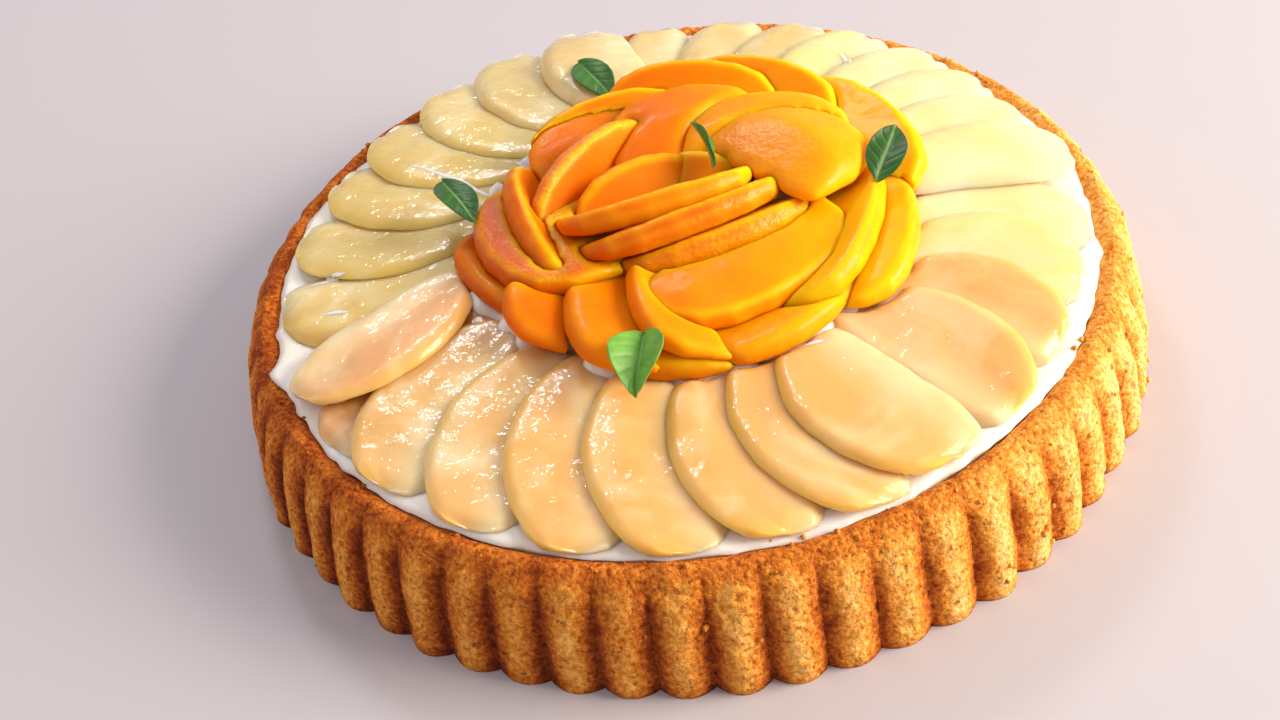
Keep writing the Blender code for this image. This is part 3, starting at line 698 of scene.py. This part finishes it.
def pearGrids(row, number, p):
    # top and bottom of one slice, how far each point is from its edge, and which side is thick
    innerTurn, innerShare, outerTurn, outerShare, width, side = row
    start, end = (
        p["baseRadius"] * share * np.array([math.cos(math.radians(turn)), math.sin(math.radians(turn))])
        for turn, share in ((innerTurn, innerShare), (outerTurn, outerShare))
    )
    length = np.linalg.norm(end - start)
    along = (end - start) / length
    across = np.array([-along[1], along[0]])
    s = (0.5 - 0.5 * np.cos(np.linspace(0.02, 1, p["stations"]) * math.pi * 0.995))[:, None]
    u = np.sin(np.linspace(-1, 1, p["columns"]) * math.pi / 2)[None, :]
    half = width / 2 * pearWidth(s, p)
    bowed = p["bow"] * width * side * np.sin(math.pi * s)
    line = start + (end - start) * s[..., None] + across * bowed[..., None]
    grid = (s.size, u.size)
    edges = np.stack([s * 60 + 0 * u, np.sign(u) * 30 + 0 * s, np.full(grid, 9.0 * number)], axis=2)
    edges = edges.reshape(-1, 3) * mm
    wobble = 1 + sum(share * softNoise(edges, size, seed) for share, size, seed in p["edgeWobbles"])
    plan = line + across * (u * half * wobble.reshape(grid))[..., None]

    # the heights are those of the solid, evened, and lower where it has none
    felt = (line + across * (u * half * 0.9)[..., None]).reshape(-1, 2) * mm
    solid = frame["nodes"][f"pear_slice_{number:02d}"]
    tree = BVHTree.FromObject(solid, bpy.context.evaluated_depsgraph_get())
    top, low = (heightsOn(tree, felt, fromAbove).reshape(grid) / mm for fromAbove in (True, False))
    lost = spreadGrid((~np.isfinite(top) & (s > 0.03) & (s < 0.97)).astype(float), 2)
    top, low = (spreadGrid(heights, 7) - 3.0 * lost for heights in (top, low))
    top = np.maximum(top, low + p["leastThickness"])
    low = low - p["sunk"]
    clear = np.minimum((1 - np.abs(u)) * half, np.minimum(s, 1 - s) * length)
    roundedOver = p["kinds"][p["kindOf"][number - 1]][1]
    full = np.sqrt(1 - (1 - np.clip(clear / roundedOver, 0, 1)) ** 2)
    edge = low + p["edgeHeight"] * (top - low)
    wet = np.concatenate([plan, top[..., None]], axis=2).reshape(-1, 3) * mm
    wave = sum(rise * softNoise(wet, size, number + seed) for rise, size, seed in p["waves"]).reshape(grid)
    hollow = p["hollow"] * np.exp(-((u + 0.15 * side) / 0.3) ** 2) * np.sin(math.pi * s)
    upper = edge + (top - edge + wave - hollow) * full
    lower = edge - (edge - low) * full
    grids = [np.concatenate([plan, z[..., None]], axis=2).reshape(-1, 3) * mm for z in (upper, lower)]
    return grids, clear, np.clip(0.5 + 0.8 * u * side, 0, 1) + 0 * s


def sliceFaces(rows, columns):
    # top, bottom and both ends of two grids of points
    count = rows * columns
    faces = []
    for i in range(rows - 1):
        for j in range(columns - 1):
            a, b = i * columns + j, (i + 1) * columns + j
            faces.append((a, b, b + 1, a + 1))
            faces.append((count + a, count + a + 1, count + b + 1, count + b))
    for j in range(columns - 1):
        faces.append((j, j + 1, count + j + 1, count + j))
    for a in range((rows - 1) * columns, count - 1):
        faces.append((a + 1, a, count + a, count + a + 1))
    return faces


def makePears(p):
    finish = pearMaterial()
    thinColour = np.array(linear(p["thinColour"])[:3])
    faces = sliceFaces(p["stations"], p["columns"])
    for number, (row, kind) in enumerate(zip(p["rows"], p["kindOf"]), start=1):
        hexCode, _, glow = p["kinds"][kind]
        grids, clear, thickSide = pearGrids(row, number, p)
        piece = makePiece(f"pearSlice{number:02d}", np.concatenate(grids), faces, finish)
        # painted yellow glow along the thick edge, and the thin side painted paler, for light through the
        # flesh
        rim = glow * np.exp(-np.maximum(clear, 0) / 2.2) * thickSide
        thin = (0.55 * np.clip(0.9 - 1.6 * thickSide, 0, 1)).reshape(-1, 1)
        tints = np.array(linear(hexCode)[:3]) * (1 - thin) + thinColour * thin
        storeValues(piece.data, "tint", np.tile(tints, (2, 1)))
        storeValues(piece.data, "rim", np.tile(np.clip(rim, 0, 0.8).ravel(), 2))
        welded(piece.data)
        piece.data.shade_smooth()
        seat(piece, "pear", f"pear_slice_{number:02d}")


makePears(pears)
print("pear slices laid")


# Peaches: firm slices in light syrup; pebbled skin side, smooth cut faces, a painted highlight on the cut
# edges; painted darker to the left and lighter to the right.
# In the rows with a colon, the number before it is the slice's.
peaches = {
    "voxel": 0.75,
    # degrees, where each slice's skin side faces
    "facing": (22, 56, 78, 112, 345, 212, 155, 172, 283, 308, 180, 338, 199,
               122, 92, 67, 39, 192, 140, 70, 114, 301, 290, 290, 284),
    "lean": (16, 28, 34, 28, 8, 8, 14, 10, 4, 6, 18, 18, 0, 14, 8, 0, -6, 46, 62, 40, 52, -11, 26, 31, 30),
    # how much skin is on top
    "cheeks": {6: 0.4, 13: 1.0, 14: 0.7, 15: 0.3, 16: 0.3, 17: 0.55, 19: 0.8},
    "pebbled": {5: 0.6, 6: 0.3, 7: 0.3, 13: 0.7, 14: 0.6, 17: 0.5, 19: 1.0, 23: 0.7, 24: 0.3},
    "leastPebbled": 0.12,
    # rounds of smoothing, more where the solid has square ends
    "relaxing": {6: 60, 7: 90, 8: 80, 9: 40, 10: 40, 11: 50, 14: 40, 15: 50, 16: 50, 17: 80},
    "leastRelaxing": 10,
    # painted light: how far each slice's colour is moved towards the lit colour
    "paintedLightShift": {1: 0.4, 5: 0.3, 8: 0.05, 12: 0.45, 14: 0.1, 15: -0.2, 23: -0.1, 24: -0.35, 25: -0.15},
    "waves": ((0.20, 8, 0), (0.10, 3, 50)),     # height, size and seed
    "pebbleWave": (0.05, 1.3, 90),
    "windowAt": (0.75, -0.15, 0.6),             # the painted highlight on the cut edges is brightest where they face it
    "flesh": ("DE6600", "FFBA04"),              # painted shade on the left and painted light on the right
    # the skin's colours, with the same painted shade and painted light
    "skin": ("CC5C00", "FFA800"),
    # colour of the painted highlight on the cut edges
    "edge": "FFCE14",
}


def peachMaterial():
    # syrupy peach: wet flesh that light soaks into; the skin side is pebbled and glints; a painted highlight
    # on its cut edges
    made, tree, shader = newMaterial("peach flesh in syrup", {
        "Roughness": 0.42, "IOR": 1.36, "Specular IOR Level": 0.12, "Subsurface Weight": 1.0,
        "Subsurface Scale": 8 * mm, "Subsurface Radius": (1.0, 0.45, 0.05),
        "Coat Roughness": 0.15, "Coat IOR": 1.38,
    })
    place = {"Vector": addNode(tree, "TexCoord").outputs["Object"]}
    tint = addNode(tree, "Attribute", {"attribute_name": "tint"}).outputs["Color"]
    rim = addNode(tree, "Attribute", {"attribute_name": "rim"}).outputs["Fac"]
    pebbled = addNode(tree, "Attribute", {"attribute_name": "pebbled"}).outputs["Fac"]
    # ripe patches 17 mm wide, and pebbles of 1.4 mm, coarser than the real ones so that they show
    ripe = addNode(tree, "TexNoise", {"Scale": patternScale(16.667), "Detail": 3.0, "Roughness": 0.6}, place)
    patches = addNode(
        tree, "ValToRGB", {"stops": ((0.35, "F8B850"), (0.62, "FFFFFF"))}, {"Fac": ripe.outputs["Fac"]}
    )
    flesh = addNode(
        tree, "Mix", {"data_type": "RGBA", "blend_type": "MULTIPLY", 0: 0.25},
        {6: tint, 7: patches.outputs["Color"]},
    )
    # painted highlight: the cut edges are mixed towards yellow
    edged = addNode(
        tree, "Mix", {"data_type": "RGBA", 7: linear(peaches["edge"])}, {0: rim, 6: flesh.outputs[2]}
    )
    tree.links.new(edged.outputs[2], shader.inputs["Base Color"])
    film = addNode(tree, "Math", {"operation": "MULTIPLY_ADD", 1: 0.5, 2: 0.12}, {0: pebbled})
    tree.links.new(film.outputs[0], shader.inputs["Coat Weight"])
    pebbles = addNode(tree, "TexNoise", {"Scale": patternScale(1.429), "Detail": 3.0}, place)
    depth = addNode(tree, "Math", {"operation": "MULTIPLY_ADD", 1: 0.9, 2: 0.05}, {0: pebbled})
    relief = addNode(
        tree, "Math", {"operation": "MULTIPLY"}, {0: pebbles.outputs["Fac"], 1: depth.outputs[0]}
    )
    bump = addNode(tree, "Bump", {"Strength": 0.9, "Distance": 0.9 * mm}, {"Height": relief.outputs[0]})
    for socket in ("Normal", "Coat Normal"):
        tree.links.new(bump.outputs["Normal"], shader.inputs[socket])
    return made


def peachCopy(node, name, voxelMm):
    # a slice starts from its solid, remeshed finely
    mesh = frame["nodes"][node].data.copy()
    mesh.materials.clear()
    welded(mesh)
    piece = bpy.data.objects.new(name, mesh)
    scene.collection.objects.link(piece)
    fine = piece.modifiers.new("fine", "REMESH")
    fine.mode = "VOXEL"
    fine.voxel_size = voxelMm * mm
    return piece, applied(piece)


def makePeaches(p):
    finish = peachMaterial()
    fleshPaintedShade, fleshPaintedLit = (np.array(linear(colour)[:3]) for colour in p["flesh"])
    skinPaintedShade, skinPaintedLit = (np.array(linear(colour)[:3]) for colour in p["skin"])
    pebbleRise, pebbleSize, pebbleSeed = p["pebbleWave"]
    for number, (facing, lean) in enumerate(zip(p["facing"], p["lean"]), start=1):
        node = f"peach_slice_{number:02d}"
        piece, mesh = peachCopy(node, f"peachSlice{number:02d}", p["voxel"])
        edges = edgesOf(mesh)
        relaxing = p["relaxing"].get(number, p["leastRelaxing"])
        points = smoothed(pointsOf(mesh), edges, relaxing)
        broad = smoothed(points, edges, 16)
        movePoints(mesh, points)
        normals = normalsOf(mesh)
        bulge = ((points - broad) * normals).sum(1) / mm

        # the skin is on the side that faces out, and on top of some slices
        turn, rise = math.radians(facing), math.radians(lean)
        outward = np.array([math.cos(turn) * math.cos(rise), math.sin(turn) * math.cos(rise), math.sin(rise)])
        onSkin = np.clip((normals @ outward - 0.45) / 0.3, 0, 1)
        onTop = np.clip((normals[:, 2] - 0.3) / 0.4, 0, 1)
        onSkin = np.maximum(onSkin, p["cheeks"].get(number, 0) * onTop)

        # the smoothing took some thickness, which goes back on before the waves
        points = smoothed(points + normals * (0.15 + 0.016 * relaxing) * mm, edges, 4)
        wave = sum(high * softNoise(points, size, number - 1 + seed) for high, size, seed in p["waves"])
        wave += pebbleRise * softNoise(points, pebbleSize, number - 1 + pebbleSeed) * (0.4 + onSkin)
        movePoints(mesh, points + normals * (wave * mm)[:, None])

        # painted light and shade: colour darker to the left and lighter to the right, moved for some slices
        paintedLight = (points[:, 0] / mm + 55) / 125 + p["paintedLightShift"].get(number, 0)
        paintedLight = np.clip(paintedLight, 0, 1)[:, None] ** 1.2
        flesh = fleshPaintedShade * (1 - paintedLight) + fleshPaintedLit * paintedLight
        skin = skinPaintedShade * (1 - paintedLight) + skinPaintedLit * paintedLight
        # painted highlight on the sharp edges, strongest where they face the window
        sharp = np.clip((bulge - 0.06) / 0.30, 0, 1)
        glow = smoothed(sharp[:, None], edges, 8)[:, 0]
        lit = np.clip(0.25 + normals @ np.array(p["windowAt"]), 0, 1)
        storeValues(mesh, "tint", flesh * (1 - onSkin[:, None]) + skin * onSkin[:, None])
        storeValues(mesh, "rim", np.clip(0.45 * sharp + 0.35 * glow, 0, 1) * lit)
        storeValues(mesh, "pebbled", onSkin * p["pebbled"].get(number, p["leastPebbled"]))
        mesh.materials.append(finish)
        mesh.shade_smooth()
        seat(piece, "peach", node)


makePeaches(peaches)
print("peach rose arranged")


# Leaves: small fresh herb leaves, quilted between their veins
leaves = {
    "tips": (294, 295, 64, 259, 112),       # degrees, where each tip points
    "length": (28, 28, 23, 22, 15),
    "width": (12.5, 11.5, 11.5, 14.5, 6.5),
    "fold": (0.25, 0.15, 0.2, 0.75, 0.4),
    "stations": 60,
    "columns": 33,
    "thickness": 0.35,
    "veins": 6,
    "midVeinWidth": 0.35,
    "quilting": 0.35,
    "ripple": 0.6,
    "droop": 5,
    "sunk": 0.8,
    "colours": ("3A7426", "2A6020", "2A5C1E", "76B048", "4E8834"),
}


def leafMaterial():
    # fresh leaf: satin and a little see-through, paler along its veins
    made, tree, shader = newMaterial("fresh herb leaf", {
        "Roughness": 0.42, "IOR": 1.42, "Subsurface Weight": 0.2, "Subsurface Scale": 1 * mm,
    })
    tint = addNode(tree, "Attribute", {"attribute_name": "tint"}).outputs["Color"]
    vein = addNode(tree, "Attribute", {"attribute_name": "vein"}).outputs["Fac"]
    # the quilting between the small veins is about 4 mm wide
    place = {"Vector": addNode(tree, "TexCoord").outputs["Object"]}
    quilt = addNode(tree, "TexNoise", {"Scale": patternScale(3.846), "Detail": 3.0}, place)
    shade = addNode(
        tree, "ValToRGB", {"stops": ((0.3, "9FBF8A"), (0.7, "FFFFFF"))}, {"Fac": quilt.outputs["Fac"]}
    )
    green = addNode(
        tree, "Mix", {"data_type": "RGBA", "blend_type": "MULTIPLY", 0: 0.7},
        {6: tint, 7: shade.outputs["Color"]},
    )
    veined = addNode(tree, "Mix", {"data_type": "RGBA", 7: linear("8FBE62")}, {0: vein, 6: green.outputs[2]})
    tree.links.new(veined.outputs[2], shader.inputs["Base Color"])
    bump = addNode(tree, "Bump", {"Strength": 0.3, "Distance": 0.3 * mm}, {"Height": quilt.outputs["Fac"]})
    tree.links.new(bump.outputs["Normal"], shader.inputs["Normal"])
    return made


def ownAxes(points):
    # middle of a piece and its long, middle and short directions
    middle = points.mean(0)
    _, directions = np.linalg.eigh(np.cov((points - middle).T))
    return middle, directions[:, 2], directions[:, 1], directions[:, 0]


def makeLeaves(p):
    finish = leafMaterial()
    faces = gridFaces(p["stations"], p["columns"])
    for number, tip in enumerate(p["tips"], start=1):
        leaf = {key: p[key][number - 1] for key in ("length", "width", "fold", "colours")}
        node = f"leaf_{number}"
        middle, long, _, up = ownAxes(pointsOf(frame["nodes"][node].data))
        turn = math.radians(tip)
        if long @ np.array([math.cos(turn), math.sin(turn), 0]) < 0:
            long = -long
        if up[2] < 0:
            up = -up
        wide = np.cross(up, long)
        s = np.linspace(0, 1, p["stations"])[:, None]
        u = np.linspace(-1, 1, p["columns"])[None, :]
        off = np.abs(u)
        half = leaf["width"] / 2 * np.sin(math.pi * np.clip(s, 0.004, 0.996) ** 0.85) ** 0.75
        along = leaf["length"] * (s - 0.5) + 0.0 * u
        across = u * half
        phase = (s * p["veins"] - off * 1.3) % 1.0
        sideVein = np.exp(-((phase - 0.5) / 0.10) ** 2)
        sideVein = sideVein * np.clip(off * 6, 0, 1) * np.clip((1 - off) * 5, 0, 1)
        midVein = np.exp(-(across / p["midVeinWidth"]) ** 2)
        lift = leaf["fold"] * np.abs(across) + p["quilting"] * (1 - sideVein) * np.clip(off * 4, 0, 1)
        lift = lift - 0.2 * midVein + p["ripple"] * np.sin(7 * s + 2.2 * u) * off
        lift = lift - p["droop"] * (s - 0.45) ** 2
        shift = along[..., None] * long + across[..., None] * wide + (lift[..., None] - p["sunk"]) * up
        points = (middle + shift * mm).reshape(-1, 3)
        piece = makePiece(f"herbLeaf{number}", points, faces, finish)
        storeValues(piece.data, "vein", np.clip(0.7 * midVein + 0.16 * sideVein, 0, 1).reshape(-1))
        storeValues(piece.data, "tint", np.tile(linear(leaf["colours"])[:3], (len(points), 1)))
        blade = piece.modifiers.new("blade", "SOLIDIFY")
        blade.thickness = p["thickness"] * mm
        applied(piece)
        seat(piece, "leaf", node)


makeLeaves(leaves)
print("leaves placed")


# Smears of cream left on the pears, in millimetres from the middle; each lies on what is under it
smears = {
    "lines": (
        ((-84.3, 53.2), (-73.2, 45.2), (-61.4, 34.4), (-51.6, 24.3)),
        ((-114.3, 0.9), (-108.6, 2.5), (-101.6, 1.4)),
        ((-107.3, -16.4), (-103.1, -15.9), (-98.7, -17.8)),
        ((-48.8, 47.4), (-42.3, 41.1)),
        ((-0.5, -57.6), (4.2, -60.2)),
        ((-36.0, -45.0), (-31.9, -49.3), (-36.2, -51.7)),
        ((-20.7, -50.4), (-15.9, -48.5)),
        ((28.9, -62.6), (35.9, -61.2)),
        ((29.9, 95.5), (29.6, 84.0)),
        ((65.1, 85.3), (67.3, 74.6)),
    ),
    "halfWidth": 0.8,
    "thickness": 0.3,
    "sunk": 0.12,
    "step": 0.8,
    "columns": 7,
}


def groundOf(names):
    # one tree of all pieces whose names start so
    points, faces = [], []
    for piece in scene.objects:
        if piece.name.startswith(names):
            start = len(points)
            points += [tuple(v.co) for v in piece.data.vertices]
            faces += [tuple(start + v for v in face.vertices) for face in piece.data.polygons]
    return BVHTree.FromPolygons(points, faces)


def makeSmears(c):
    ground = groundOf(("pearSlice", "whippedCream"))
    across = np.linspace(-1, 1, c["columns"])
    points, faces = [], []
    for number, line in enumerate(c["lines"]):
        line = np.array(line)
        lengths = np.concatenate([[0], np.cumsum(np.linalg.norm(np.diff(line, axis=0), axis=1))])
        stops = np.linspace(0, lengths[-1], int(lengths[-1] / c["step"]) + 3)
        middle = np.stack([np.interp(stops, lengths, line[:, k]) for k in range(2)], axis=1)
        for _ in range(8):
            middle[1:-1] = (middle[:-2] + 2 * middle[1:-1] + middle[2:]) / 4
        ahead = np.gradient(middle, axis=0)
        ahead /= np.linalg.norm(ahead, axis=1)[:, None]
        aside = np.stack([-ahead[:, 1], ahead[:, 0]], axis=1)
        place = np.stack([stops, np.full(len(stops), 40.0 * number), 0 * stops], axis=1) * mm
        share = stops / lengths[-1]
        wide = c["halfWidth"] * (0.25 + np.sin(math.pi * share) ** 0.6) * (1 + 0.5 * softNoise(place, 3, 21))
        high = c["thickness"] * (0.6 + 2.4 * share * (1 - share))
        middle = middle + aside * (0.8 * softNoise(place, 4, 22))[:, None]
        faces += gridFaces(len(stops), c["columns"], len(points))
        for i in range(len(stops)):
            for side in across:
                x, y = middle[i] + aside[i] * side * wide[i]
                hit = ground.ray_cast((x * mm, y * mm, 1.0), (0, 0, -1.0))[0]
                rise = high[i] * math.sqrt(1 - side * side)
                points.append((x * mm, y * mm, hit[2] + (rise - c["sunk"]) * mm))
    piece = makePiece("creamSmears", points, faces, bpy.data.materials["whipped cream"])
    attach(piece, "root")


makeSmears(smears)
print("cream smears laid")


# Crumbs of the case that cling to its crown, its wall and the edge of the cream
crumbs = {
    "seed": 5,
    "onTop": 100,
    "onWall": 90,
    "radius": (0.35, 1.1),
    "topRing": (126.6, 2.0),        # millimetres from the middle, and the spread
    "wallTurn": (-25, 50),          # degrees, and the spread
    "wallHeight": (4, 34),
    # height and radius of a crumb's rings, in its own size
    "rings": ((0.95, 0.35), (0.3, 0.9), (-0.4, 0.85), (-0.95, 0.3)),
    "sides": 7,
    "browning": (0.12, 0.46),       # browning on the side painted as lit, and painted shade added on the far side
}


def makeCrumbs(c):
    ground = groundOf(("spongeCase", "whippedCream"))
    draw = np.random.default_rng(c["seed"])
    least, most = c["radius"]
    sides, ringCount = c["sides"], len(c["rings"])
    points, faces = [], []
    for number in range(c["onTop"] + c["onWall"]):
        turn = draw.uniform(0, 2 * math.pi)
        if number >= c["onTop"]:
            turn = math.radians(draw.normal(*c["wallTurn"]))
        towards = np.array([math.cos(turn), math.sin(turn), 0])
        if number < c["onTop"]:
            x, y, _ = draw.normal(*c["topRing"]) * mm * towards
            hit, facing = ground.ray_cast((x, y, 1.0), (0, 0, -1.0))[:2]
        else:
            start = towards * 0.3 + np.array([0, 0, draw.uniform(*c["wallHeight"]) * mm])
            hit, facing = ground.ray_cast(tuple(start), tuple(-towards))[:2]
        size = (least + (most - least) * draw.random() ** 2.2) * mm
        middle = np.array(hit) + np.array(facing) * size * 0.35
        first = len(points)
        for up, out in c["rings"]:
            for k in range(sides):
                angle = 2 * math.pi * (k + 0.5 * draw.random()) / sides
                grown = size * draw.uniform(0.75, 1.2)
                points.append(middle + grown * np.array([out * math.cos(angle), out * math.sin(angle), up]))
        for a, d, e, b in bandFaces(ringCount, sides):
            faces.append((first + d, first + a, first + b, first + e))
        faces.append(tuple(range(first, first + sides)))
        faces.append(tuple(reversed(range(first + (ringCount - 1) * sides, first + ringCount * sides))))
    points = np.array(points)
    piece = makePiece("bakedCrumbs", points, faces, bpy.data.materials["baked sponge, browned"])
    # browning, with painted shade on the side away from the window
    pale, farther = c["browning"]
    storeValues(piece.data, "browning", pale + farther * awayFromLight(np.arctan2(points[:, 1], points[:, 0])))
    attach(piece, "root")


makeCrumbs(crumbs)
print("crumbs scattered")
